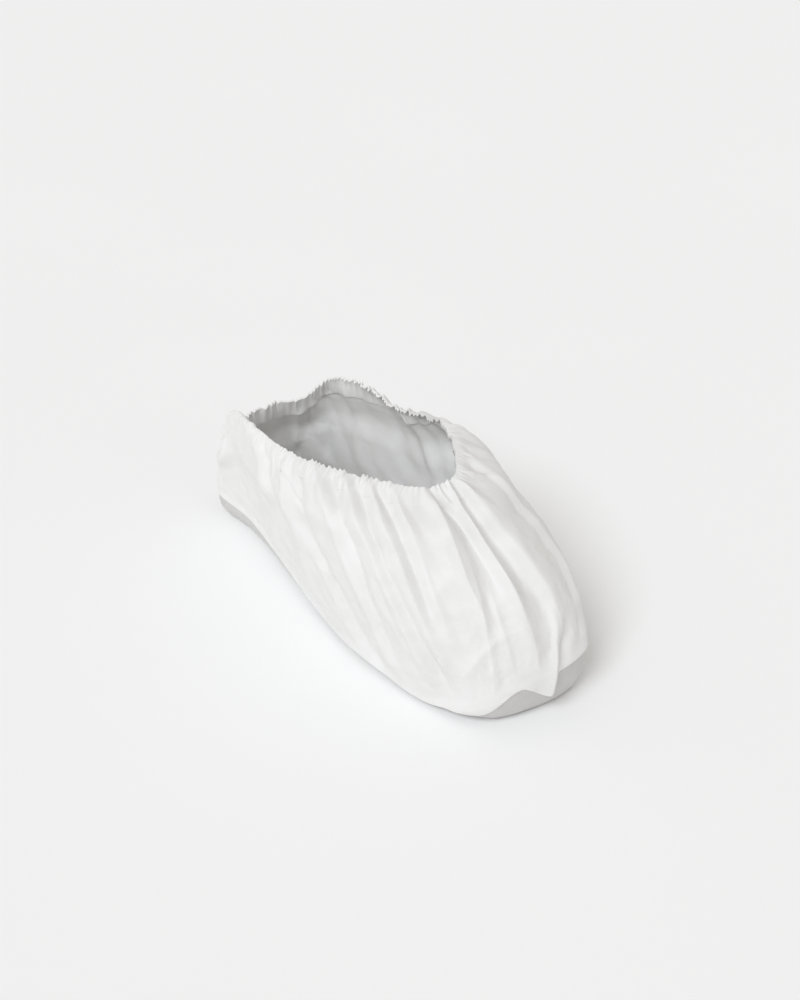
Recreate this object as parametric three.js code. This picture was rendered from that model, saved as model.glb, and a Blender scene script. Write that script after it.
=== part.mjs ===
// Disposable shoe cover in the form it has on a right foot: a loose folded upper, a shallow sole tray
// and a gathered elastic hem round the opening.
// Millimetres. +X runs to the toe, +Y to the wearer's left, +Z up. The sole rests on Z = 0.
import * as THREE from 'three';

// Driving dimensions
const CLOTH = 1.2;
const HEM_CLOTH = 2.2;
const SOLE_CLOTH = 1.5;
const HEM_GAP = 0.8;
const SEAM_GAP = 0.6;
const HEM_DEPTH = 13;

// Cloth below the hem swells out over the elastic, and its lower edge stands proud of the sole
const SWELL = { out: 2.6, depth: 34 };
const LIP = { out: 0.8, height: 6 };

// Small gathers hang from the rim and die away down the cloth
const GATHER = { count: 34, height: 0.7, depth: 46 };
const RUFFLE = { count: 52, sway: 0.9, rise: 0.8 };

// Sampling: columns stand closer together where the folds are narrow, and lean with the folds on both sides
const UPPER_SPANS = [
  { end: 0.2, count: 16 },
  { end: 0.33, count: 14 },
  { end: 0.46, count: 36 },
  { end: 0.58, count: 32 },
  { end: 1, count: 28 },
];
const COLUMN_LEANS = [
  { middle: 0.37, reach: 0.14, turn: 0.07 },
  { middle: 0.69, reach: 0.14, turn: -0.05 },
];
const UPPER_ROWS = 14;
const HEM_STEPS_PER_RUFFLE = 4;
const HEM_ROWS = 2;
const SOLE_COLUMNS = 96;
const SOLE_ROWS = 4;
const NORMAL_STEP = 0.004;
const RIM_DIVISIONS = 600;

// Stations round the foot, from the heel along the wearer's right side to the toe and back.
// The wall leaves the rim by leaveOut and leaveDown, and comes to the seam from lean out and stand up.
// The sole turns in by tuck between the seam and the floor.
const STATIONS = namedRows(
  [
    'place', 'rimX', 'rimY', 'rimZ', 'seamX', 'seamY', 'seamZ',
    'leaveOut', 'leaveDown', 'lean', 'stand', 'tuck',
  ],
  [
    ['heel back', -139, -10, 80, -149, -1, 19, 2, 23, 0, 21, 13],
    ['heel corner, right', -128, -43, 80, -150, -41, 18, 8, 26, 0, 27, 8],
    ['heel side, right', -107, -46, 106, -102, -39, 14, 1, 19, 4, 26, 6],
    ['arch, right', -41, -49, 113, 1, -49, 5, 21, 12, 8, 36, 10],
    ['ball, right', 3, -46, 122, 54, -50, 5, 33, 6, 8, 36, 8],
    ['toe side, right', 53, -23, 127, 113, -38, 4, 66, 25, 4, 25, 15],
    ['toe tip', 64, -6, 125, 148, -14, 24, 64, 23, 0, 21, 11],
    ['toe side, left', 56, 16, 123, 146, 51, 33, 78, 24, 1, 5, 10],
    ['ball, left', 3, 45, 119, 65, 54, 17, 31, 5, 0, 26, 9],
    ['arch, left', -41, 43, 110, -5, 46, 12, 21, 12, 3, 31, 9],
    ['heel side, left', -107, 38, 105, -106, 41, 16, 6, 18, 0, 27, 9],
    ['heel corner, left', -130, 19, 84, -143, 25, 20, 8, 22, 0, 25, 10],
  ],
);

// Folds run down the wall along a path of turns round the foot and shares of the wall below the rim.
// Before and after are the widths of a fold's two sides in turns, crisp sharpens its crest, and a valley has
// a negative height.
const FOLD_COLUMNS = ['place', 'height', 'before', 'after', 'crisp', 'path'];
const FOLDS = namedRows(FOLD_COLUMNS, [
  ['heel dent', -2, 0.025, 0.03, 0.3, [[0.1, 0.1], [0.095, 0.45], [0.09, 0.85]]],
  ['heel ridge', 2.6, 0.03, 0.013, 0.6,
    [[0.2, -0.1], [0.22, 0.13], [0.228, 0.24], [0.213, 0.54], [0.2, 0.95]]],
  ['heel valley', -2.6, 0.01, 0.016, 0.6,
    [[0.208, -0.1], [0.234, 0.17], [0.24, 0.25], [0.234, 0.4], [0.228, 0.7]]],
  ['quarter ridge', 2.6, 0.022, 0.02, 0.5,
    [[0.235, -0.1], [0.27, 0.1], [0.277, 0.3], [0.265, 0.6], [0.25, 0.95]]],
  ['quarter valley', -4, 0.024, 0.013, 0.7, [
    [0.295, 0.02], [0.32, 0.2], [0.311, 0.36], [0.313, 0.47], [0.331, 0.52], [0.337, 0.8], [0.37, 1.05],
  ]],
  ['side ridge', 3, 0.016, 0.012, 0.6,
    [[0.312, -0.1], [0.349, 0.14], [0.36, 0.34], [0.367, 0.44], [0.378, 1]]],
  ['side valley', -3.2, 0.01, 0.015, 0.7,
    [[0.328, -0.1], [0.352, 0.07], [0.37, 0.23], [0.38, 0.38], [0.383, 0.85]]],
  ['ball ridge', 2.7, 0.014, 0.012, 0.5,
    [[0.342, -0.1], [0.375, 0.115], [0.397, 0.3], [0.411, 0.46], [0.422, 0.95]]],
  ['ball valley', -3.2, 0.011, 0.014, 0.5,
    [[0.35, -0.1], [0.384, 0.11], [0.408, 0.32], [0.421, 0.52], [0.44, 0.98]]],
  ['flank ridge', 2.6, 0.014, 0.012, 0.5,
    [[0.367, -0.1], [0.4, 0.105], [0.424, 0.265], [0.436, 0.46], [0.448, 0.92]]],
  ['flank valley', -3.2, 0.012, 0.018, 0.5,
    [[0.37, -0.1], [0.397, 0.06], [0.426, 0.195], [0.439, 0.35], [0.446, 0.68]]],
  ['flank fold', 2.2, 0.012, 0.012, 0.7,
    [[0.39, -0.1], [0.423, 0.085], [0.438, 0.17], [0.447, 0.28], [0.456, 0.7]]],
  ['vamp ridge', 3.4, 0.028, 0.018, 0.6,
    [[0.479, -0.1], [0.479, 0.1], [0.478, 0.22], [0.48, 0.3], [0.482, 0.46], [0.495, 0.75]]],
  ['vamp valley', -4.6, 0.028, 0.013, 0.25,
    [[0.487, -0.08], [0.495, 0.05], [0.508, 0.13], [0.512, 0.21], [0.519, 0.34], [0.518, 0.62]]],
  ['middle ridge', 3.4, 0.013, 0.009, 0.5,
    [[0.534, -0.1], [0.532, 0.06], [0.528, 0.15], [0.527, 0.23], [0.529, 0.3], [0.529, 0.76]]],
  ['middle valley', -3.2, 0.012, 0.01, 0.2,
    [[0.547, -0.06], [0.542, 0.14], [0.538, 0.21], [0.54, 0.36], [0.54, 0.5], [0.538, 0.66]]],
  ['toe ridge', 3.6, 0.02, 0.018, 0.7, [[0.526, 0.4], [0.529, 0.62], [0.5295, 0.85], [0.53, 1.05]]],
  ['toe valley', -3.2, 0.018, 0.009, 0.5, [[0.54, 0.46], [0.544, 0.62], [0.541, 0.86], [0.535, 0.99]]],
  ['crown ridge', 3.6, 0.011, 0.042, 0.5,
    [[0.56, -0.1], [0.546, 0.14], [0.5425, 0.23], [0.547, 0.4], [0.55, 0.6], [0.552, 0.95]]],
  ['crown valley', -1, 0.02, 0.012, 0.5,
    [[0.62, -0.04], [0.587, 0.2], [0.578, 0.3], [0.574, 0.42], [0.57, 0.85]]],
  ['forked ridge', 1, 0.014, 0.012, 0.8, [
    [0.645, -0.1], [0.622, 0.07], [0.602, 0.17], [0.592, 0.24], [0.584, 0.38], [0.578, 0.92],
  ]],
  ['fork', 1.6, 0.01, 0.009, 0.8, [[0.578, -0.1], [0.586, 0.04], [0.597, 0.13], [0.6, 0.25]]],
  ['toe pleat', 3.5, 0.012, 0.01, 0.6, [[0.549, 0.66], [0.547, 0.8], [0.543, 0.9], [0.54, 1.1]]],
  ['ball ridge, left', 3.5, 0.02, 0.014, 0.7, [[0.678, -0.1], [0.645, 0.4], [0.628, 0.95]]],
  ['side valley, left', -3, 0.014, 0.014, 0.6, [[0.7, -0.1], [0.675, 0.4], [0.655, 0.95]]],
  ['side ridge, left', 3, 0.018, 0.014, 0.7, [[0.725, -0.1], [0.705, 0.45], [0.69, 1]]],
  ['quarter valley, left', -3.5, 0.016, 0.016, 0.6, [[0.758, -0.1], [0.742, 0.42], [0.725, 0.95]]],
  ['quarter ridge, left', 2.5, 0.018, 0.018, 0.7, [[0.79, -0.1], [0.775, 0.42], [0.765, 0.95]]],
  ['heel valley, left', -3, 0.018, 0.018, 0.6, [[0.83, -0.1], [0.82, 0.4], [0.815, 0.9]]],
  ['heel ridge, left', 2.5, 0.02, 0.02, 0.7, [[0.87, -0.1], [0.866, 0.4], [0.86, 0.9]]],
  ['heel dent, left', -2.5, 0.022, 0.022, 0.3, [[0.92, 0.1], [0.925, 0.5], [0.93, 0.85]]],
]);
const FOLD_START = 0.15;
const FOLD_END = 0.2;

// The elastic holds the folds down at the rim, to a share of their height
const HOLD = { share: 0.3, depth: 13 };

const UP = new THREE.Vector3(0, 0, 1);

const rimCurve = closedCurve('rimX', 'rimY', 'rimZ');
const seamCurve = closedCurve('seamX', 'seamY', 'seamZ');
const leaveCurve = closedCurve('leaveOut', 'leaveDown', null);
const arriveCurve = closedCurve('lean', 'stand', null);
const tuckCurve = closedCurve('tuck', null, null);
const rimLengths = rimCurve.getLengths(RIM_DIVISIONS);
const wallCache = new Map();

function namedRows(columns, rows) {
  return rows.map((row) => Object.fromEntries(columns.map((column, index) => [column, row[index]])));
}

// Smooth closed curve through three columns of the stations, a null column being zero
function closedCurve(...columns) {
  const points = STATIONS.map((station) => {
    const values = columns.map((column) => (column ? station[column] : 0));
    return new THREE.Vector3(...values);
  });
  return new THREE.CatmullRomCurve3(points, true, 'catmullrom', 0.5);
}

function wrap(turn) {
  return turn - Math.floor(turn);
}

// Level direction away from the foot, at a turn of a closed curve that runs anticlockwise from above
function outwardOf(curve, turn) {
  const tangent = curve.getTangent(wrap(turn));
  return new THREE.Vector3(tangent.y, -tangent.x, 0).normalize();
}

// Share of the rim's own length that lies before a turn, so that gathers are evenly spaced along it
function rimShare(turn) {
  const place = wrap(turn) * RIM_DIVISIONS;
  const before = Math.floor(place);
  const length = THREE.MathUtils.lerp(rimLengths[before], rimLengths[before + 1], place - before);
  return length / rimLengths[RIM_DIVISIONS];
}

// Line of the wall from the rim down to the seam, at one turn round the foot
function wallLine(turn) {
  const key = wrap(turn).toFixed(6);
  if (!wallCache.has(key)) {
    const at = wrap(turn);
    const rim = rimCurve.getPoint(at);
    const seam = seamCurve.getPoint(at);
    const leave = leaveCurve.getPoint(at);
    const arrive = arriveCurve.getPoint(at);
    const fromRim = rim.clone().addScaledVector(outwardOf(rimCurve, at), leave.x);
    const toSeam = seam.clone().addScaledVector(outwardOf(seamCurve, at), arrive.x);
    fromRim.addScaledVector(UP, -leave.y);
    toSeam.addScaledVector(UP, arrive.y);
    wallCache.set(key, new THREE.CubicBezierCurve3(rim, fromRim, toSeam, seam));
  }
  return wallCache.get(key);
}

function wallPoint(turn, down) {
  return wallLine(turn).getPointAt(THREE.MathUtils.clamp(down, 0, 1));
}

// Outward direction of the smooth wall, square to it
function wallNormal(turn, down) {
  const low = Math.min(Math.max(down, NORMAL_STEP), 1 - NORMAL_STEP);
  const along = wallPoint(turn + NORMAL_STEP, low).sub(wallPoint(turn - NORMAL_STEP, low));
  const descent = wallPoint(turn, low + NORMAL_STEP).sub(wallPoint(turn, low - NORMAL_STEP));
  return descent.cross(along).normalize();
}

// Round bump that is 1 in the middle and 0 from one half-width away
function bump(across) {
  const far = Math.min(Math.abs(across), 1);
  return (1 - far) ** 2 * (1 + 2 * far);
}

// Slope of a path at one of its knots, in turns for each share of the way down
function knotSlope(path, knot) {
  const before = Math.max(knot - 1, 0);
  const after = Math.min(knot + 1, path.length - 1);
  return (path[after][0] - path[before][0]) / (path[after][1] - path[before][1]);
}

// Turn of a path at a share of the way down, smooth through its knots
function pathTurn(path, down) {
  const at = THREE.MathUtils.clamp(down, path[0][1], path[path.length - 1][1]);
  let knot = 0;
  while (knot < path.length - 2 && at > path[knot + 1][1]) {
    knot += 1;
  }
  const [startTurn, startDown] = path[knot];
  const [endTurn, endDown] = path[knot + 1];
  const span = endDown - startDown;
  const w = (at - startDown) / span;
  const eased = w * w * (3 - 2 * w);
  const leaving = knotSlope(path, knot) * span * w * (1 - w) ** 2;
  const arriving = knotSlope(path, knot + 1) * span * w * w * (1 - w);
  return THREE.MathUtils.lerp(startTurn, endTurn, eased) + leaving - arriving;
}

// Height of the long folds over the smooth wall
function foldHeight(turn, down) {
  let height = 0;
  for (const fold of FOLDS) {
    const crest = pathTurn(fold.path, down);
    const apart = turn - crest - Math.round(turn - crest);
    const far = Math.min(Math.abs(apart) / (apart < 0 ? fold.before : fold.after), 1);
    const profile = THREE.MathUtils.lerp(bump(far), (1 - far) ** 2, fold.crisp);
    const start = fold.path[0][1];
    const end = fold.path[fold.path.length - 1][1];
    const fadeIn = THREE.MathUtils.smoothstep(down, start, start + FOLD_START);
    const fadeOut = THREE.MathUtils.smoothstep(-down, -end, FOLD_END - end);
    height += fold.height * profile * fadeIn * fadeOut;
  }
  const below = down * wallLine(turn).getLength();
  return height * THREE.MathUtils.lerp(HOLD.share, 1, THREE.MathUtils.smoothstep(below, 0, HOLD.depth));
}

// Height of the swell below the hem, the gathers that hang from the rim and the lip at the seam
function edgeHeight(turn, down) {
  const length = wallLine(turn).getLength();
  const below = down * length;
  const swell = SWELL.out * bump((below - HEM_DEPTH - SWELL.depth / 2) / (SWELL.depth / 2));
  const fade = 1 - THREE.MathUtils.smoothstep(below, 0, GATHER.depth);
  const gather = GATHER.height * Math.sin(2 * Math.PI * GATHER.count * rimShare(turn)) * fade;
  const lip = LIP.out * bump((length - below) / LIP.height);
  return swell + gather + lip;
}

// Point of the cloth's outer face, and of its back, at a turn and a share of the way down
function clothPlace(turn, down, thickness, extra) {
  const normal = wallNormal(turn, down);
  const lift = foldHeight(turn, down) + edgeHeight(turn, down) + extra;
  const face = wallPoint(turn, down).addScaledVector(normal, lift);
  return { face, back: face.clone().addScaledVector(normal, -thickness) };
}

// Turns of a set of spans, each evenly divided, round the whole foot
function spreadTurns(spans) {
  const turns = [];
  let start = 0;
  for (const span of spans) {
    for (let step = 0; step < span.count; step += 1) {
      turns.push(THREE.MathUtils.lerp(start, span.end, step / span.count));
    }
    start = span.end;
  }
  return turns;
}

// Turn of a column at a share of the way down, where it leans with the folds
function leanTurn(column, down) {
  let turn = column;
  for (const lean of COLUMN_LEANS) {
    turn += lean.turn * bump((column - lean.middle) / lean.reach) * down * (2 - down);
  }
  return turn;
}

// Two faces across the strip between neighbouring rings, first ring above or outside the second
function joinRings(faces, first, second, count) {
  for (let step = 0; step < count; step += 1) {
    const next = (step + 1) % count;
    faces.push(first + step, second + step, second + next);
    faces.push(first + step, second + next, first + next);
  }
}

function meshGeometry(points, faces) {
  const geometry = new THREE.BufferGeometry();
  const values = points.flatMap((point) => point.toArray());
  geometry.setAttribute('position', new THREE.Float32BufferAttribute(values, 3));
  geometry.setIndex(faces);
  geometry.computeVertexNormals();
  return geometry;
}

// Closed band of cloth from rings of places, top ring first
function clothBand(rings) {
  const count = rings[0].length;
  const inner = rings.length * count;
  const last = (rings.length - 1) * count;
  const faces = [];
  for (let ring = 0; ring < rings.length - 1; ring += 1) {
    joinRings(faces, ring * count, (ring + 1) * count, count);
    joinRings(faces, inner + (ring + 1) * count, inner + ring * count, count);
  }
  joinRings(faces, inner, 0, count);
  joinRings(faces, last, inner + last, count);
  const places = rings.flat();
  return meshGeometry([...places.map((place) => place.face), ...places.map((place) => place.back)], faces);
}

// Loose folded body of the cover, from just below the hem to the seam
function upperGeometry() {
  const columns = spreadTurns(UPPER_SPANS);
  const rings = [];
  for (let row = 0; row <= UPPER_ROWS; row += 1) {
    const share = row / UPPER_ROWS;
    rings.push(columns.map((column) => {
      const turn = leanTurn(column, share);
      const start = HEM_DEPTH / wallLine(turn).getLength();
      return clothPlace(turn, THREE.MathUtils.lerp(start, 1, share), CLOTH, 0);
    }));
  }
  return clothBand(rings);
}

// Gathered casing of the elastic, ruffled at its free edge
function hemGeometry() {
  const steps = RUFFLE.count * HEM_STEPS_PER_RUFFLE;
  const turns = Array.from({ length: steps }, (_, step) => rimCurve.getUtoTmapping(step / steps));
  const rings = [];
  for (let row = 0; row <= HEM_ROWS; row += 1) {
    rings.push(turns.map((turn) => {
      const share = row / HEM_ROWS;
      const down = ((HEM_DEPTH - HEM_GAP) / wallLine(turn).getLength()) * share;
      const free = (1 - share) ** 2;
      const wave = 2 * Math.PI * RUFFLE.count * rimShare(turn);
      const place = clothPlace(turn, down, HEM_CLOTH, RUFFLE.sway * free * Math.sin(wave));
      place.face.addScaledVector(UP, RUFFLE.rise * free * Math.cos(wave));
      place.back.addScaledVector(UP, RUFFLE.rise * free * Math.cos(wave));
      return place;
    }));
  }
  return clothBand(rings);
}

// Ring of the sole tray at an angle of its turn-under, set in by the cloth's thickness or not
function soleRing(turns, angle, inset) {
  return turns.map((turn) => {
    const outward = outwardOf(seamCurve, turn);
    const tuck = tuckCurve.getPoint(turn).x;
    const ring = seamCurve.getPoint(turn);
    const height = ring.z - SEAM_GAP;
    ring.addScaledVector(outward, -tuck * (1 - Math.cos(angle)) - inset * Math.cos(angle));
    return ring.setZ(height * (1 - Math.sin(angle)) + inset * Math.sin(angle));
  });
}

// Shallow tray under the foot: a rounded side from the seam down to a flat floor
function soleGeometry() {
  const turns = spreadTurns([{ end: 1, count: SOLE_COLUMNS }]);
  const outer = [];
  const inner = [];
  for (let row = 0; row <= SOLE_ROWS; row += 1) {
    const angle = (Math.PI / 2) * (row / SOLE_ROWS);
    outer.push(soleRing(turns, angle, 0));
    inner.push(soleRing(turns, angle, SOLE_CLOTH));
  }
  const innerStart = outer.length * SOLE_COLUMNS;
  const lowest = SOLE_ROWS * SOLE_COLUMNS;
  const faces = [];
  for (let row = 0; row < SOLE_ROWS; row += 1) {
    const above = row * SOLE_COLUMNS;
    const below = above + SOLE_COLUMNS;
    joinRings(faces, above, below, SOLE_COLUMNS);
    joinRings(faces, innerStart + below, innerStart + above, SOLE_COLUMNS);
  }
  joinRings(faces, innerStart, 0, SOLE_COLUMNS);
  const floor = outer[SOLE_ROWS].map((point) => new THREE.Vector2(point.x, point.y));
  for (const [a, b, c] of THREE.ShapeUtils.triangulateShape(floor, [])) {
    faces.push(lowest + a, lowest + c, lowest + b);
    faces.push(innerStart + lowest + a, innerStart + lowest + b, innerStart + lowest + c);
  }
  return meshGeometry([...outer.flat(), ...inner.flat()], faces);
}

function clothPiece(name, geometry, color, roughness) {
  const material = new THREE.MeshStandardMaterial({ color, roughness, metalness: 0 });
  const mesh = new THREE.Mesh(geometry, material);
  mesh.name = name;
  return mesh;
}

const shoeCover = new THREE.Group();
shoeCover.add(clothPiece('upper', upperGeometry(), 0xefeeea, 0.72));
shoeCover.add(clothPiece('elastic_hem', hemGeometry(), 0xf4f3f0, 0.78));
shoeCover.add(clothPiece('sole', soleGeometry(), 0xdcdad4, 0.7));

// The origin is below the middle of the cover, on the floor
const middle = new THREE.Box3().setFromObject(shoeCover).getCenter(new THREE.Vector3());
shoeCover.position.set(-middle.x, -middle.y, 0);

export default shoeCover;
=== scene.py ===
import math

import bpy
import numpy as np
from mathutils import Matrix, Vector


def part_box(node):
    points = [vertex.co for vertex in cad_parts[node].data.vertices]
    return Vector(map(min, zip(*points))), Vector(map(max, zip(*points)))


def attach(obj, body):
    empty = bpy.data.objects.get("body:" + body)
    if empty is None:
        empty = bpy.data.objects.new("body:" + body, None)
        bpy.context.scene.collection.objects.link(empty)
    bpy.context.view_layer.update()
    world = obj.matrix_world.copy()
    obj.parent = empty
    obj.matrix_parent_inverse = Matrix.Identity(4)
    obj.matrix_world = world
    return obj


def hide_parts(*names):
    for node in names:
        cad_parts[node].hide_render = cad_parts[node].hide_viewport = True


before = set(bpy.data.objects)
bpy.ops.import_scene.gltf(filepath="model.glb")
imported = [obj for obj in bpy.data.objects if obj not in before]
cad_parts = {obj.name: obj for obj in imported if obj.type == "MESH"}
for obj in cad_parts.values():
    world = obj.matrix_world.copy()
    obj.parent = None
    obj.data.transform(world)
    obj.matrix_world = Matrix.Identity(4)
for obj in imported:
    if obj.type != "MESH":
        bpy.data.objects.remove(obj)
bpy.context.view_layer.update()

# Looks of a worn disposable shoe cover: folded upper, gathered elastic hem and shallow sole tray

# A millimetre and the cloth round the sole seam in metres, and the angle from which an edge is drawn sharp
MM = 0.001
SEAM_LENGTH = 0.76
SHARP_ANGLE = math.radians(70)

# Keeps a direction without length from dividing by nothing
TINY = 1e-12

# Cloth, in millimetres
CLOTH = 0.7
HEM_CLOTH = 1.8
SOLE_CLOTH = 0.9
HEM_DEPTH = 13.0
HEM_LAP = 2.0
LAP_SINK = 0.5
SEAM_GAP = 0.15

# Stations round the foot, from the heel along the wearer's right side to the toe and back, as in the part
STATION_COLUMNS = "rim_x rim_y rim_z seam_x seam_y seam_z leave_out leave_down lean stand tuck".split()
STATIONS = {
    "heel back": (-139, -10, 80, -149, -1, 19, 2, 23, 0, 21, 13),
    "heel corner, right": (-128, -43, 80, -150, -41, 18, 8, 26, 0, 27, 8),
    "heel side, right": (-107, -46, 106, -102, -39, 14, 1, 19, 4, 26, 6),
    "arch, right": (-41, -49, 113, 1, -49, 5, 21, 12, 8, 36, 10),
    "ball, right": (3, -46, 122, 54, -50, 5, 33, 6, 8, 36, 8),
    "toe side, right": (53, -23, 127, 113, -38, 4, 66, 25, 4, 25, 15),
    "toe tip": (64, -6, 125, 148, -14, 24, 64, 23, 0, 21, 11),
    "toe side, left": (56, 16, 123, 146, 51, 33, 78, 24, 1, 5, 10),
    "ball, left": (3, 45, 119, 65, 54, 17, 31, 5, 0, 26, 9),
    "arch, left": (-41, 43, 110, -5, 46, 12, 21, 12, 3, 31, 9),
    "heel side, left": (-107, 38, 105, -106, 41, 16, 6, 18, 0, 27, 9),
    "heel corner, left": (-130, 19, 84, -143, 25, 20, 8, 22, 0, 25, 10),
}

# Long folds: height, widths of the sides before and after the crest in turns, crispness, and the crest's
# path as turns and shares of the way down. A valley has a negative height.
FOLD_COLUMNS = "height before after crisp path".split()
FOLDS = {
    "heel dent": (-2.0, 0.025, 0.03, 0.3, ((0.1, 0.1), (0.095, 0.45), (0.09, 0.85))),
    "heel ridge": (2.6, 0.03, 0.013, 0.6, (
        (0.2, -0.1), (0.21, 0.02), (0.22, 0.13), (0.228, 0.24), (0.222, 0.38), (0.213, 0.54), (0.2, 0.95))),
    "heel valley": (-2.6, 0.01, 0.016, 0.6, (
        (0.208, -0.1), (0.226, 0.06), (0.234, 0.17), (0.24, 0.25), (0.234, 0.4), (0.228, 0.7))),
    "quarter ridge": (2.6, 0.022, 0.02, 0.5, (
        (0.235, -0.1), (0.27, 0.1), (0.277, 0.3), (0.265, 0.6), (0.25, 0.95))),
    "quarter crease": (-1.4, 0.007, 0.008, 0.5, (
        (0.236, -0.02), (0.266, 0.09), (0.287, 0.155), (0.303, 0.215), (0.309, 0.4))),
    "quarter valley": (-3.6, 0.026, 0.028, 0.4, (
        (0.285, 0.0), (0.308, 0.16), (0.304, 0.32), (0.306, 0.44), (0.318, 0.53), (0.328, 0.64),
        (0.334, 0.8), (0.345, 0.92), (0.37, 1.05))),
    "side ridge": (3.0, 0.016, 0.012, 0.6, (
        (0.312, -0.1), (0.33, 0.03), (0.349, 0.14), (0.358, 0.24), (0.36, 0.34), (0.367, 0.44), (0.375, 0.8),
        (0.378, 1.0))),
    "side valley": (-3.2, 0.01, 0.015, 0.7, (
        (0.328, -0.1), (0.352, 0.07), (0.37, 0.23), (0.38, 0.38), (0.381, 0.5), (0.383, 0.85))),
    "ball ridge": (2.8, 0.014, 0.012, 0.6, (
        (0.342, -0.1), (0.375, 0.115), (0.397, 0.3), (0.411, 0.46), (0.418, 0.65), (0.422, 0.95))),
    "ball valley": (-3.4, 0.009, 0.013, 0.7, (
        (0.35, -0.1), (0.384, 0.11), (0.408, 0.32), (0.421, 0.52), (0.429, 0.7), (0.44, 0.98))),
    "flank ridge": (2.8, 0.014, 0.01, 0.7, (
        (0.367, -0.1), (0.4, 0.105), (0.424, 0.265), (0.436, 0.46), (0.442, 0.67), (0.448, 0.92))),
    "flank valley": (-3.6, 0.008, 0.018, 0.6, (
        (0.37, -0.1), (0.397, 0.06), (0.426, 0.195), (0.439, 0.35), (0.443, 0.48), (0.446, 0.68))),
    "flank fold": (2.2, 0.012, 0.012, 0.7, (
        (0.39, -0.1), (0.408, 0.01), (0.423, 0.085), (0.438, 0.17), (0.447, 0.28), (0.452, 0.45),
        (0.456, 0.7))),
    "vamp crease": (-0.8, 0.008, 0.008, 0.5, ((0.45, 0.26), (0.455, 0.42), (0.46, 0.56), (0.465, 0.78))),
    "vamp ridge": (3.4, 0.028, 0.018, 0.6, (
        (0.479, -0.1), (0.479, 0.1), (0.478, 0.22), (0.48, 0.3), (0.482, 0.46), (0.487, 0.56),
        (0.495, 0.75))),
    "vamp valley": (-5.0, 0.03, 0.011, 0.25, (
        (0.487, -0.08), (0.495, 0.05), (0.507, 0.13), (0.511, 0.21), (0.515, 0.27), (0.518, 0.34),
        (0.519, 0.42), (0.518, 0.62))),
    "middle ridge": (3.0, 0.01, 0.01, 0.8, (
        (0.533, -0.1), (0.53, 0.06), (0.5255, 0.14), (0.523, 0.22), (0.525, 0.29), (0.527, 0.37),
        (0.528, 0.5), (0.5285, 0.62), (0.529, 0.76))),
    "middle valley": (-3.8, 0.014, 0.01, 0.2, (
        (0.547, -0.06), (0.545, 0.08), (0.542, 0.14), (0.538, 0.21), (0.5385, 0.28), (0.54, 0.36),
        (0.54, 0.5), (0.538, 0.66))),
    "toe ridge": (3.6, 0.02, 0.018, 0.7, (
        (0.526, 0.4), (0.528, 0.5), (0.529, 0.62), (0.5295, 0.75), (0.5295, 0.85), (0.53, 1.05))),
    "crown ridge": (3.8, 0.009, 0.034, 0.9, (
        (0.56, -0.1), (0.556, 0.05), (0.546, 0.14), (0.5425, 0.23), (0.545, 0.31), (0.547, 0.4),
        (0.548, 0.5), (0.55, 0.6), (0.551, 0.78), (0.552, 0.95))),
    "crown valley": (-1.8, 0.024, 0.014, 0.5, (
        (0.62, -0.04), (0.605, 0.1), (0.587, 0.2), (0.578, 0.3), (0.574, 0.42), (0.571, 0.6),
        (0.57, 0.8), (0.569, 1.05))),
    "forked ridge": (1.0, 0.014, 0.012, 0.8, (
        (0.645, -0.1), (0.632, 0.01), (0.622, 0.07), (0.602, 0.17), (0.592, 0.24), (0.584, 0.38),
        (0.58, 0.55), (0.578, 0.92))),
    "fork": (1.6, 0.01, 0.008, 0.8, ((0.578, -0.1), (0.586, 0.04), (0.597, 0.13), (0.6, 0.25))),
    "toe valley": (-2.6, 0.018, 0.01, 0.5, (
        (0.54, 0.46), (0.544, 0.62), (0.545, 0.75), (0.541, 0.86), (0.537, 0.92), (0.535, 0.99))),
    "toe pleat": (3.4, 0.012, 0.005, 0.8, (
        (0.549, 0.66), (0.547, 0.8), (0.543, 0.9), (0.5405, 0.97), (0.539, 1.4))),
    "toe pocket": (-4.0, 0.004, 0.014, 0.5, ((0.556, 0.74), (0.552, 0.85), (0.548, 0.92), (0.545, 1.02))),
    "ball ridge, left": (3.5, 0.02, 0.014, 0.7, ((0.678, -0.1), (0.645, 0.4), (0.628, 0.95))),
    "side valley, left": (-3.0, 0.014, 0.014, 0.6, ((0.7, -0.1), (0.675, 0.4), (0.655, 0.95))),
    "side ridge, left": (3.0, 0.018, 0.014, 0.7, ((0.725, -0.1), (0.705, 0.45), (0.69, 1.0))),
    "quarter valley, left": (-3.5, 0.016, 0.016, 0.6, ((0.758, -0.1), (0.742, 0.42), (0.725, 0.95))),
    "quarter ridge, left": (2.5, 0.018, 0.018, 0.7, ((0.79, -0.1), (0.775, 0.42), (0.765, 0.95))),
    "heel valley, left": (-3.0, 0.018, 0.018, 0.6, ((0.83, -0.1), (0.82, 0.4), (0.815, 0.9))),
    "heel ridge, left": (2.5, 0.02, 0.02, 0.7, ((0.87, -0.1), (0.866, 0.4), (0.86, 0.9))),
    "heel dent, left": (-2.5, 0.022, 0.022, 0.3, ((0.92, 0.1), (0.925, 0.5), (0.93, 0.85))),
}
FOLD_START, FOLD_END = 0.15, 0.2

# The elastic holds the folds down at the rim, to a share of their height
HOLD_SHARE, HOLD_DEPTH = 0.3, 13.0

# Creases across the wall: height, widths above and below in shares of the way down, crispness, and path
CREASES = {
    "toe cap": (1.5, 0.07, 0.12, 0.9, (
        (0.45, 0.86), (0.463, 0.82), (0.476, 0.77), (0.492, 0.74), (0.509, 0.73), (0.535, 0.74))),
    "waist": (1.2, 0.08, 0.06, 0.8, ((0.295, 0.52), (0.312, 0.56), (0.33, 0.54), (0.345, 0.5))),
}
CREASE_END = 0.012

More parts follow.
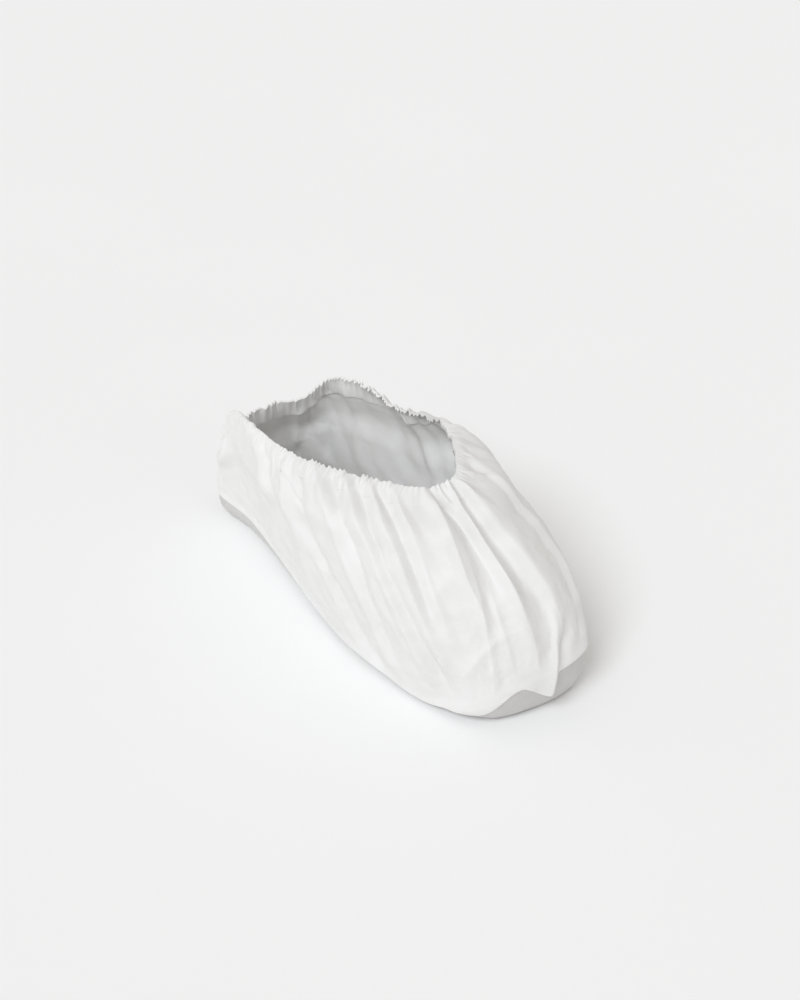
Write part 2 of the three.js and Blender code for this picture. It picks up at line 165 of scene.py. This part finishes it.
# Cloth below the hem swells out over the elastic, and its lower edge stands proud of the sole
SWELL_OUT, SWELL_DEPTH = 2.6, 34.0
LIP_OUT, LIP_HEIGHT = 0.8, 6.0
SEAM_REACH = 9.0

# The cloth hangs over the sole at the toe, deepest at the tip of the pleat: turns, and drops below the seam
HANG_TURNS = (0.42, 0.478, 0.515, 0.538, 0.544)
HANG_DROPS = (0.0, 8.5, 0.0, 13.5, 0.0)
HANG_OUT, HANG_REACH = 0.6, 3.0

# Gathers round the rim: puffs round the opening, height, depth below the rim, unevenness and seed
GATHER_COLUMNS = "puffs height depth wander seed".split()
GATHERS = {
    "fine": (138, 0.9, 10.0, 0.5, 3),
    "short": (66, 1.2, 20.0, 0.8, 5),
    "long": (34, 1.4, 46.0, 0.9, 7),
}

# Shape of a puff: width of the pinch, roundness, unevenness in size with its step of the seed, and middle
PINCH, PUFF_POWER = 0.35, 1.5
PUFF_UNEVEN, PUFF_SIZE_SEED = 0.6, 50
PUFF_MIDDLE = 0.5

# Free edge of the hem: random sway, and scallops up and down
RUFFLE_CELLS, RUFFLE_SWAY, RUFFLE_SEED = 90, 0.5, 21
SCALLOP = 0.8

# Facets lean along the folds: cells round and down the wall, height, lean in turns and seed
FACETS = {"round": 44, "down": 3, "height": 0.6, "lean": 0.075, "seed": 11}

# Crinkles run every way: size, height, and the place where they are strongest by turn, reach and share of
# the way down. The even ones reach all round.
EVERYWHERE = 9.0
CRINKLE_COLUMNS = "cell height seed middle reach start".split()
CRINKLES = {
    "creases": (17.0, 0.5, 12, 0.5, EVERYWHERE, -1.0),
    "crumples": (7.0, 0.16, 13, 0.5, EVERYWHERE, -1.0),
    "toe crumples": (5.0, 0.3, 14, 0.51, 0.08, 0.5),
}
CRINKLE_FADE = 0.2
NOISE_SIDE = 64

# Pleats round the side of the sole tray, crinkles of its inner floor, and how far the floor's rings close
SOLE_PLEATS, SOLE_PLEAT_HEIGHT, SOLE_PLEAT_SEED = 120, 0.5, 31
FLOOR_CELLS, FLOOR_CRINKLE, FLOOR_SEED = (60, 12), 0.7, 32
FLOOR_DRAW = np.array([0.86, 1.0, 1.0])

# Sampling: columns lean with the folds on the two sides, by turn about the middle of their reach
WALL_TURNS, WALL_STEPS, WALL_END = 1800, 180, 1.12
LINE_STEPS, HANG_STEPS, HANG_ANGLE = 120, 24, math.radians(75)
RIM_TURNS = np.linspace(0, 1, 2001)
TURN_STEP = 1e-4
UPPER_SPANS = ((0.2, 70), (0.45, 150), (0.6, 150), (1.0, 120))
LEAN_COLUMNS = "middle reach turn".split()
COLUMN_LEANS = {"right": (0.37, 0.14, 0.07), "left": (0.69, 0.14, -0.05)}
UPPER_ROWS = 94
HEM_COLUMNS = 1300
HEM_ROWS = 12
SOLE_COLUMNS = 480
SOLE_ROWS = 14
FLOOR_RINGS = 14

# Camera of the photograph, in millimetres and pixels
CAMERA_AT = (672.7, -453.1, 632.9)
CAMERA_AIM = (6.4, 9.1, 76.8)
FOCAL_PIXELS = 1527.2
FRAME_HEIGHT_PIXELS = 1000
SENSOR = 36.0


def named(columns, rows):
    """The table's columns by name, each an array over the rows."""
    values = np.array(list(rows.values()), float)
    return {name: values[:, k] for k, name in enumerate(columns)}


def named_rows(columns, rows):
    """The table's rows, each a dictionary."""
    return [dict(zip(columns, row)) for row in rows.values()]


STATION = named(STATION_COLUMNS, STATIONS)
RIM, SEAM = ("rim_x", "rim_y", "rim_z"), ("seam_x", "seam_y", "seam_z")
UP = np.array([0.0, 0.0, 1.0])
FOLD_ROWS = named_rows(FOLD_COLUMNS, FOLDS)
CREASE_ROWS = named_rows(FOLD_COLUMNS, CREASES)
GATHER_ROWS = named_rows(GATHER_COLUMNS, GATHERS)
CRINKLE_ROWS = named_rows(CRINKLE_COLUMNS, CRINKLES)
LEAN_ROWS = named_rows(LEAN_COLUMNS, COLUMN_LEANS)


# Small mathematics

def smooth(x):
    """Rises from 0 to 1 with x, level at both ends."""
    x = np.clip(x, 0.0, 1.0)
    return x * x * (3 - 2 * x)


def bump(across):
    """1 in the middle, 0 from one width away, round at both."""
    far = np.clip(np.abs(across), 0.0, 1.0)
    return (1 - far) ** 2 * (1 + 2 * far)


def folded(wave):
    """Sharp crests where a random wave passes through nothing."""
    return 0.5 - 2 * np.abs(wave)


def unit(vectors):
    return vectors / (np.linalg.norm(vectors, axis=-1, keepdims=True) + TINY)


def hermite(w, start, leave, end, arrive):
    """Cubic from start to end as w goes from 0 to 1, with the slopes there."""
    return (
        (2 * w**3 - 3 * w**2 + 1) * start
        + (w**3 - 2 * w**2 + w) * leave
        + (3 * w**2 - 2 * w**3) * end
        + (w**3 - w**2) * arrive
    )


def round_trip(names, turns):
    """Smooth closed curve through columns of the stations, at turns round the foot."""
    values = np.column_stack([STATION[name] for name in names])
    count = len(values)
    place = (turns % 1.0) * count
    first = np.floor(place).astype(int)
    w = (place - first)[:, None]
    before, start, end, after = (values[(first + k) % count] for k in (-1, 0, 1, 2))
    return hermite(w, start, (end - before) / 2, end, (after - start) / 2)


def outward_of(names, turns):
    """Level direction away from the foot, square to a closed curve."""
    along = round_trip(names, turns + TURN_STEP) - round_trip(names, turns - TURN_STEP)
    return unit(np.column_stack([along[:, 1], -along[:, 0], np.zeros(len(turns))]))


def smooth_line(x, knots, values):
    """Smooth curve through values at rising knots, level beyond them."""
    slopes = np.gradient(values, knots)
    x = np.clip(x, knots[0], knots[-1])
    k = np.clip(np.searchsorted(knots, x, side="right") - 1, 0, len(knots) - 2)
    span = knots[k + 1] - knots[k]
    w = (x - knots[k]) / span
    return hermite(w, values[k], span * slopes[k], values[k + 1], span * slopes[k + 1])


def eased_line(x, knots, values):
    """Curve through values at rising knots, level at each of them and beyond."""
    k = np.clip(np.searchsorted(knots, x, side="right") - 1, 0, len(knots) - 2)
    w = smooth((x - knots[k]) / (knots[k + 1] - knots[k]))
    return values[k] * (1 - w) + values[k + 1] * w


def ring_noise(share, cells, seed):
    """Smooth random wave from -1 to 1 round a closed line, with one random value a cell."""
    values = np.random.default_rng(seed).uniform(-1, 1, cells)
    place = (share % 1.0) * cells
    first = np.floor(place).astype(int)
    w = smooth(place - first)
    return values[first % cells] * (1 - w) + values[(first + 1) % cells] * w


def wall_noise(turn, down, cells_round, cells_down, seed):
    """Smooth random field from -1 to 1 over the wall, closed round the foot."""
    values = np.random.default_rng(seed).uniform(-1, 1, (cells_round, cells_down + 3))
    u, v = (turn % 1.0) * cells_round, np.clip(down, 0, 1) * cells_down
    column, row = np.floor(u).astype(int), np.floor(v).astype(int)
    a, b = smooth(u - column), smooth(v - row)
    column, beside, under = column % cells_round, (column + 1) % cells_round, row + 1
    top = values[column, row] * (1 - a) + values[beside, row] * a
    low = values[column, under] * (1 - a) + values[beside, under] * a
    return top * (1 - b) + low * b


def space_noise(points, cell, seed):
    """Smooth random field from -1 to 1 through space, with one random value at each corner of its cells."""
    values = np.random.default_rng(seed).uniform(-1, 1, (NOISE_SIDE,) * 3)
    place = points / cell
    first = np.floor(place).astype(int)
    w = smooth(place - first)
    total = np.zeros(points.shape[:-1])
    for corner in np.ndindex(2, 2, 2):
        share = np.prod(np.where(corner, w, 1 - w), axis=-1)
        x, y, z = np.moveaxis((first + corner) % NOISE_SIDE, -1, 0)
        total += share * values[x, y, z]
    return total


# Surface of the cover

def rim_share(turns):
    """Share of the rim's own length that lies before each turn."""
    line = round_trip(RIM, RIM_TURNS)
    length = np.concatenate([[0], np.cumsum(np.linalg.norm(np.diff(line, axis=0), axis=1))])
    return np.interp(turns % 1.0, RIM_TURNS, length / length[-1])


def even_turns(count):
    """Turns that are evenly spaced along the rim."""
    share = rim_share(RIM_TURNS)
    share[-1] = 1.0
    return np.interp(np.arange(count) / count, share, RIM_TURNS)


def spread_turns(spans):
    """Turns round the foot, evenly divided within each span."""
    parts, start = [], 0.0
    for end, count in spans:
        parts.append(np.linspace(start, end, count, endpoint=False))
        start = end
    return np.concatenate(parts)


def wall_lines(turns):
    """Points of the wall's line at each turn, from the rim to the seam and on down the side of the sole."""
    rim, seam = round_trip(RIM, turns), round_trip(SEAM, turns)
    leave = round_trip(("leave_out", "leave_down"), turns)
    arrive = round_trip(("lean", "stand"), turns)
    from_rim = rim + outward_of(RIM, turns) * leave[:, :1] - UP * leave[:, 1:]
    to_seam = seam + outward_of(SEAM, turns) * arrive[:, :1] + UP * arrive[:, 1:]
    v = np.linspace(0, 1, LINE_STEPS + 1)[None, :, None]
    wall = (
        (1 - v) ** 3 * rim[:, None]
        + 3 * (1 - v) ** 2 * v * from_rim[:, None]
        + 3 * (1 - v) * v**2 * to_seam[:, None]
        + v**3 * seam[:, None]
    )
    angle = np.linspace(0, HANG_ANGLE, HANG_STEPS + 1)[None, 1:, None]
    tuck = round_trip(("tuck",), turns)[:, None] * (1 - np.cos(angle))
    inward = -outward_of(SEAM, turns)[:, None]
    side = seam[:, None] + inward * tuck - UP * seam[:, None, 2:] * np.sin(angle)
    return np.concatenate([wall, side], axis=1)


def wall_grids():
    """Points, outward normals and lengths of the smooth wall, on an even grid of turns and shares."""
    turns = np.arange(WALL_TURNS) / WALL_TURNS
    lines = wall_lines(turns)
    steps = np.linalg.norm(np.diff(lines, axis=1), axis=2)
    running = np.concatenate([np.zeros((WALL_TURNS, 1)), np.cumsum(steps, axis=1)], axis=1)
    lengths = running[:, LINE_STEPS]
    shares = np.linspace(0, WALL_END, WALL_STEPS + 1)
    points = np.empty((WALL_TURNS, WALL_STEPS + 1, 3))
    for k in range(WALL_TURNS):
        for axis in range(3):
            points[k, :, axis] = np.interp(shares * lengths[k], running[k], lines[k, :, axis])
    along = np.roll(points, -1, axis=0) - np.roll(points, 1, axis=0)
    descent = np.gradient(points, axis=1)
    return points, unit(np.cross(descent, along)), lengths


WALL_POINTS, WALL_NORMALS, WALL_LENGTHS = wall_grids()


def on_wall(grid, turn, down):
    """Value of a grid over the wall at turns and shares of the way down."""
    u, v = (turn % 1.0) * WALL_TURNS, np.clip(down / WALL_END, 0, 1) * WALL_STEPS
    column, row = np.floor(u).astype(int), np.minimum(np.floor(v).astype(int), WALL_STEPS - 1)
    a, b = (u - column)[..., None], (v - row)[..., None]
    column, beside = column % WALL_TURNS, (column + 1) % WALL_TURNS
    top = grid[column, row] * (1 - a) + grid[beside, row] * a
    low = grid[column, row + 1] * (1 - a) + grid[beside, row + 1] * a
    return top * (1 - b) + low * b


def wall_length(turn):
    return np.interp(turn % 1.0, np.arange(WALL_TURNS) / WALL_TURNS, WALL_LENGTHS, period=1.0)


def leaned_turns(columns, share):
    """Turns of columns that lean with the folds, at shares of the way down."""
    turn = columns + 0 * share
    for lean in LEAN_ROWS:
        turn = turn + lean["turn"] * bump((columns - lean["middle"]) / lean["reach"]) * share * (2 - share)
    return turn


def ridge(apart, fold):
    """Height of a fold's cross section, apart from its crest."""
    far = np.clip(np.abs(apart) / np.where(apart < 0, fold["before"], fold["after"]), 0, 1)
    soft, sharp = bump(far), (1 - far) ** 2
    return fold["height"] * (soft + fold["crisp"] * (sharp - soft))


def fold_height(turn, down):
    """Height of all the long folds and cross creases together."""
    total = np.zeros(np.broadcast(turn, down).shape)
    for fold in FOLD_ROWS:
        turns, downs = np.array(fold["path"]).T
        apart = turn - smooth_line(down, downs, turns)
        apart = apart - np.round(apart)
        fade = smooth((down - downs[0]) / FOLD_START) * smooth((downs[-1] - down) / FOLD_END)
        total += fade * ridge(apart, fold)
    for crease in CREASE_ROWS:
        turns, downs = np.array(crease["path"]).T
        apart = down - smooth_line(turn, turns, downs)
        fade = smooth((turn - turns[0]) / CREASE_END) * smooth((turns[-1] - turn) / CREASE_END)
        total += fade * ridge(apart, crease)
    return total


def puff_wave(share, gather):
    """Round puffs with pinched valleys, from about -0.5 to 0.5, uneven in place and height."""
    puffs, seed = int(gather["puffs"]), int(gather["seed"])
    place = puffs * share + gather["wander"] * ring_noise(share, puffs // 2, seed)
    size = 1 + PUFF_UNEVEN * ring_noise(share, puffs // 3, seed + PUFF_SIZE_SEED)
    return size * np.hypot(np.sin(math.pi * place), PINCH) ** PUFF_POWER - PUFF_MIDDLE


def gather_height(share, below):
    """Height of the gathers, at shares of the rim and millimetres below it."""
    total = np.zeros(np.broadcast(share, below).shape)
    for gather in GATHER_ROWS:
        total += gather["height"] * puff_wave(share, gather) * (1 - smooth(below / gather["depth"]))
    return total


def crinkle_height(turn, down):
    """Height of the leaning facets and the crinkles."""
    leaned = turn - FACETS["lean"] * down * np.sin(2 * math.pi * turn)
    facets = wall_noise(leaned, down, FACETS["round"], FACETS["down"], FACETS["seed"])
    total = FACETS["height"] * folded(facets)
    points = on_wall(WALL_POINTS, turn, down)
    for row in CRINKLE_ROWS:
        wave = space_noise(points, row["cell"], int(row["seed"]))
        here = bump((turn - row["middle"]) / row["reach"]) * smooth((down - row["start"]) / CRINKLE_FADE)
        total = total + row["height"] * here * folded(wave)
    return total


def wall_lift(turn, down):
    """Height of the cloth over the smooth wall: folds, crinkles, swell, gathers, lip and hanging edge."""
    length = wall_length(turn)
    below, above = down * length, np.maximum(1 - down, 0) * length
    hang = HANG_OUT * smooth((down - 1) * length / HANG_REACH)
    hold = HOLD_SHARE + (1 - HOLD_SHARE) * smooth(below / HOLD_DEPTH)
    swell = SWELL_OUT * bump((below - HEM_DEPTH - SWELL_DEPTH / 2) / (SWELL_DEPTH / 2))
    lip = LIP_OUT * bump(above / LIP_HEIGHT)
    crinkle = crinkle_height(turn, down) * smooth(below / HEM_DEPTH) * smooth(above / SEAM_REACH)
    gathers = gather_height(rim_share(turn), below)
    return fold_height(turn, down) * hold + crinkle + swell + gathers + lip + hang


# Meshes

def part_shift():
    """Where the stations' own origin lies in the part's frame, in metres, from the two boxes of the sole."""
    low, high = (np.array(corner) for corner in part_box("sole"))
    own = sole_grid(spread_turns(((1.0, SOLE_COLUMNS),)), 0.0).reshape(-1, 3) * MM
    return ((low + high) / 2 - (own.min(axis=0) + own.max(axis=0)) / 2) * (1, 1, 0)


def add_mesh(name, vertices, faces):
    mesh = bpy.data.meshes.new(name)
    mesh.from_pydata((vertices * MM + SHIFT).tolist(), [], faces)
    mesh.validate()
    mesh.polygons.foreach_set("use_smooth", np.ones(len(mesh.polygons), bool))
    mesh.set_sharp_from_angle(angle=SHARP_ANGLE)
    mesh.update()
    piece = bpy.data.objects.new(name, mesh)
    bpy.context.collection.objects.link(piece)
    return piece


def strip(first, second, count):
    """Faces between two closed rings of count vertices."""
    here = np.arange(count)
    after = (here + 1) % count
    return np.column_stack([first + here, second + here, second + after, first + after]).tolist()


def lay_flat(mesh, flat):
    """UV layer of a band's cloth laid flat, in metres, carried on where the band meets itself."""
    corners = np.empty(len(mesh.loops), int)
    mesh.loops.foreach_get("vertex_index", corners)
    places = flat[corners].reshape(-1, 4, 2)
    along = places[..., 0]
    behind = along.max(axis=1, keepdims=True) - along > SEAM_LENGTH / 2
    places[..., 0] = along + SEAM_LENGTH * behind
    mesh.uv_layers.new(name="cloth").data.foreach_set("uv", places.ravel())


def double_wall(outer, inner):
    """Vertices and faces of two grids of points, turns by rows with the top row first, joined at the top.

    Also the count of vertices a row, and the first vertices of both last rows."""
    count, rows = outer.shape[:2]
    vertices = np.concatenate([grid.transpose(1, 0, 2).reshape(-1, 3) for grid in (outer, inner)])
    back, last = rows * count, (rows - 1) * count
    faces = strip(back, 0, count)
    for row in range(rows - 1):
        faces += strip(row * count, (row + 1) * count, count)
        faces += strip(back + (row + 1) * count, back + row * count, count)
    return vertices, faces, count, last, back + last


def cloth_band(name, outer, inner, flat):
    """Closed band of cloth from two grids of points and the flat places of the points."""
    vertices, faces, count, last, back_last = double_wall(outer, inner)
    faces += strip(last, back_last, count)
    piece = add_mesh(name, vertices, faces)
    lay_flat(piece.data, np.tile(flat.transpose(1, 0, 2).reshape(-1, 2), (2, 1)))
    return piece


def upper_piece():
    share = np.linspace(0, 1, UPPER_ROWS)[None]
    turn = leaned_turns(spread_turns(UPPER_SPANS)[:, None], share)
    length = wall_length(turn)
    top = (HEM_DEPTH - HEM_LAP) / length
    bottom = 1 + eased_line(turn, np.array(HANG_TURNS), np.array(HANG_DROPS)) / length
    down = top + (bottom - top) * share
    normals = unit(on_wall(WALL_NORMALS, turn, down))
    sink = LAP_SINK * np.clip((HEM_DEPTH - down * length) / HEM_LAP, 0, 1)
    outer = on_wall(WALL_POINTS, turn, down) + normals * (wall_lift(turn, down) - sink)[..., None]
    flat = np.stack([turn % 1.0 * SEAM_LENGTH, down * length * MM], axis=-1)
    return cloth_band("shoe_cover_upper", outer, outer - normals * CLOTH, flat)


def hem_piece():
    below = np.linspace(0, HEM_DEPTH, HEM_ROWS)[None]
    turn = even_turns(HEM_COLUMNS)[:, None] + 0 * below
    down = below / wall_length(turn)
    normals = unit(on_wall(WALL_NORMALS, turn, down))
    share = rim_share(turn)
    free = (1 - below / HEM_DEPTH) ** 3
    lift = wall_lift(turn, down) + RUFFLE_SWAY * free * ring_noise(share, RUFFLE_CELLS, RUFFLE_SEED)
    outer = on_wall(WALL_POINTS, turn, down) + normals * lift[..., None]
    outer[..., 2] += SCALLOP * free * puff_wave(share, GATHER_ROWS[0])
    flat = np.stack([turn * SEAM_LENGTH, below * MM + 0 * turn], axis=-1)
    return cloth_band("shoe_cover_hem", outer, outer - normals * HEM_CLOTH, flat)


def sole_ring(turns, angle, inset):
    """Ring of the tray's side at an angle from the seam down, set in by the cloth for its inner face."""
    outward = outward_of(SEAM, turns)
    seam = round_trip(SEAM, turns)
    tuck = round_trip(("tuck",), turns)
    height = seam[:, 2:3] - SEAM_GAP
    wave = ring_noise(turns, SOLE_PLEATS, SOLE_PLEAT_SEED)[:, None]
    pleat = SOLE_PLEAT_HEIGHT * wave * math.sin(2 * angle)
    ring = seam - outward * (tuck * (1 - math.cos(angle)) + inset * math.cos(angle) - pleat)
    ring[:, 2:3] = height * (1 - math.sin(angle))
    return ring + UP * inset * math.sin(angle)


def sole_grid(turns, inset):
    """Rings of the tray's side from the seam down, then of its floor in to the middle."""
    rings = [sole_ring(turns, math.pi / 2 * k / SOLE_ROWS, inset) for k in range(SOLE_ROWS + 1)]
    edge = rings[-1]
    middle = edge.mean(axis=0)
    for share in np.arange(1, FLOOR_RINGS) / FLOOR_RINGS:
        ring = edge + (middle - edge) * share * FLOOR_DRAW
        if inset > 0:
            wave = wall_noise(turns, np.full(len(turns), share), *FLOOR_CELLS, FLOOR_SEED)
            ring[:, 2] += FLOOR_CRINKLE * (1 - np.abs(wave))
        rings.append(ring)
    return np.stack(rings, axis=1)


def sole_piece():
    turns = spread_turns(((1.0, SOLE_COLUMNS),))
    outer, inner = sole_grid(turns, 0.0), sole_grid(turns, SOLE_CLOTH)
    vertices, faces, count, last, back_last = double_wall(outer, inner)
    faces.append([last + k for k in range(count)][::-1])
    faces.append([back_last + k for k in range(count)])
    return add_mesh("shoe_cover_sole", vertices, faces)


# Materials, with sizes in metres. A cloth's colours are those of its thin and its thick places.

WHITE = (0.8, 0.795, 0.78), (0.826, 0.824, 0.814)
# The sole's cloth is the same white cloth painted a darker grey: painted shade of the underside of the foot
PAINTED_SHADE_GREY = (0.585, 0.575, 0.56), (0.625, 0.62, 0.61)
PAINT = (0.937, 0.937, 0.937), (0.943, 0.943, 0.943)
UPPER_ROUGHNESS, SOLE_ROUGHNESS, ROUGHNESS_SPREAD = 0.6, 0.65, 0.08
SHEEN = 0.1
CLOUD_SIZE, CLOUD_DETAIL = 0.011, 3.0
FIBRE_SIZE, FIBRE_DETAIL = 0.0016, 6.0
FIBRE_STRENGTH, FIBRE_DEPTH = 0.3, 0.0002
POINT_PITCH, POINT_TURN = 0.0016, math.radians(45)
POINT_STRENGTH, POINT_DEPTH = 0.35, 0.0001
PAINT_SIZE, PAINT_DETAIL, PAINT_ROUGHNESS = 0.3, 2.0, 0.9
NOISE_MIDDLE = (0.35, 0.65)


class Shading:
    """A material's node tree, with short ways to add nodes and to set or link their inputs."""

    def __init__(self, name):
        self.material = bpy.data.materials.new(name)
        self.material.use_nodes = True
        self.tree = self.material.node_tree
        self.shader = self.tree.nodes["Principled BSDF"]

    def link(self, node, socket, value):
        """Joins a node's input to another node's output, or sets it to a plain value."""
        if isinstance(value, bpy.types.NodeSocket):
            self.tree.links.new(value, node.inputs[socket])
        else:
            node.inputs[socket].default_value = value

    def add(self, kind, **inputs):
        node = self.tree.nodes.new(kind)
        for socket, value in inputs.items():
            self.link(node, socket.replace("_", " "), value)
        return node

    def noise(self, place, size, detail):
        return self.add("ShaderNodeTexNoise", Vector=place, Scale=1 / size, Detail=detail).outputs[0]

    def ramp(self, height, low, high):
        """Colour from low to high over the middle of a noise."""
        ramp = self.add("ShaderNodeValToRGB", Fac=height)
        for stop, place, colour in zip(ramp.color_ramp.elements, NOISE_MIDDLE, (low, high)):
            stop.position = place
            stop.color = (*colour, 1.0)
        return ramp.outputs["Color"]

    def range(self, height, low, high):
        """Value from low to high over the middle of a noise."""
        node = self.add("ShaderNodeMapRange", Value=height, To_Min=low, To_Max=high)
        node.inputs["From Min"].default_value, node.inputs["From Max"].default_value = NOISE_MIDDLE
        return node.outputs["Result"]

    def bump(self, height, strength, depth, normal=None):
        node = self.add("ShaderNodeBump", Height=height, Strength=strength, Distance=depth)
        if normal:
            self.link(node, "Normal", normal)
        return node.outputs["Normal"]


def cloth_material(name, thin, thick, roughness, embossed):
    """Nonwoven cloth: cloudy colour, matted fibres and, where embossed, rows of small pressed points."""
    shading = Shading(name)
    places = shading.add("ShaderNodeTexCoord")
    cloud = shading.noise(places.outputs["Object"], CLOUD_SIZE, CLOUD_DETAIL)
    fibre = shading.noise(places.outputs["Object"], FIBRE_SIZE, FIBRE_DETAIL)
    matt = shading.range(fibre, roughness - ROUGHNESS_SPREAD, roughness + ROUGHNESS_SPREAD)
    shading.link(shading.shader, "Base Color", shading.ramp(cloud, thin, thick))
    shading.link(shading.shader, "Roughness", matt)
    shading.link(shading.shader, "Sheen Weight", SHEEN)
    normal = shading.bump(fibre, FIBRE_STRENGTH, FIBRE_DEPTH)
    if embossed:
        turned = shading.add("ShaderNodeMapping", Vector=places.outputs["UV"], Rotation=(0, 0, POINT_TURN))
        points = shading.add(
            "ShaderNodeTexVoronoi", Vector=turned.outputs[0], Scale=1 / POINT_PITCH, Randomness=0.0)
        normal = shading.bump(points.outputs["Distance"], POINT_STRENGTH, POINT_DEPTH, normal)
    shading.link(shading.shader, "Normal", normal)
    return shading.material


def floor_material():
    shading = Shading("floor_paint")
    places = shading.add("ShaderNodeTexCoord")
    cloud = shading.noise(places.outputs["Object"], PAINT_SIZE, PAINT_DETAIL)
    shading.link(shading.shader, "Base Color", shading.ramp(cloud, *PAINT))
    shading.link(shading.shader, "Roughness", PAINT_ROUGHNESS)
    return shading.material


# Stage, in metres and degrees

FLOOR_SIZE, FLOOR_HEIGHT = 80.0, -0.0004
SKY_COLOUR, SKY_STRENGTH = (1.0, 0.972, 0.942, 1.0), 0.6
SUN_AT, SUN_SOFTNESS = (0.25, -0.62, 0.745), 28.0
SUN_COLOUR, SUN_STRENGTH = (0.91, 0.953, 1.0), 1.52


def add_camera():
    data = bpy.data.cameras.new("camera")
    data.sensor_width = SENSOR
    data.lens = FOCAL_PIXELS * SENSOR / FRAME_HEIGHT_PIXELS
    camera = bpy.data.objects.new("camera", data)
    bpy.context.collection.objects.link(camera)
    camera.location = Vector(CAMERA_AT) * MM + Vector(SHIFT)
    look = Vector(CAMERA_AIM) - Vector(CAMERA_AT)
    camera.rotation_euler = look.to_track_quat("-Z", "Y").to_euler()
    bpy.context.scene.camera = camera


def add_light():
    """Soft light from all round, and a wide sun that shines from its place towards the part's origin."""
    world = bpy.data.worlds.new("studio")
    bpy.context.scene.world = world
    world.use_nodes = True
    background = world.node_tree.nodes["Background"]
    background.inputs["Color"].default_value = SKY_COLOUR
    background.inputs["Strength"].default_value = SKY_STRENGTH
    data = bpy.data.lights.new("key", "SUN")
    data.angle = math.radians(SUN_SOFTNESS)
    data.energy = SUN_STRENGTH
    data.color = SUN_COLOUR
    light = bpy.data.objects.new("key", data)
    bpy.context.collection.objects.link(light)
    light.location = SUN_AT
    light.rotation_euler = (-Vector(SUN_AT)).to_track_quat("-Z", "Y").to_euler()
    bpy.context.scene.view_settings.view_transform = "Standard"


def add_floor():
    bpy.ops.mesh.primitive_plane_add(size=FLOOR_SIZE, location=(0, 0, FLOOR_HEIGHT))
    floor = bpy.context.object
    floor.name = "floor"
    floor.data.materials.append(floor_material())


SHIFT = part_shift()
add_camera()
add_light()
add_floor()

upper = upper_piece()
hem = hem_piece()
sole = sole_piece()
upper.data.materials.append(cloth_material("upper_cloth", *WHITE, UPPER_ROUGHNESS, True))
hem.data.materials.append(cloth_material("hem_cloth", *WHITE, UPPER_ROUGHNESS, True))
# The sole is drawn in the darker grey, painted shade of its underside
sole.data.materials.append(cloth_material("sole_cloth", *PAINTED_SHADE_GREY, SOLE_ROUGHNESS, False))

PIECES = ((upper, "upper", "upper_cloth"), (hem, "elastic_hem", "hem_cloth"), (sole, "sole", "sole_cloth"))
for piece, node, slot in PIECES:
    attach(piece, "root")
    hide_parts(node)
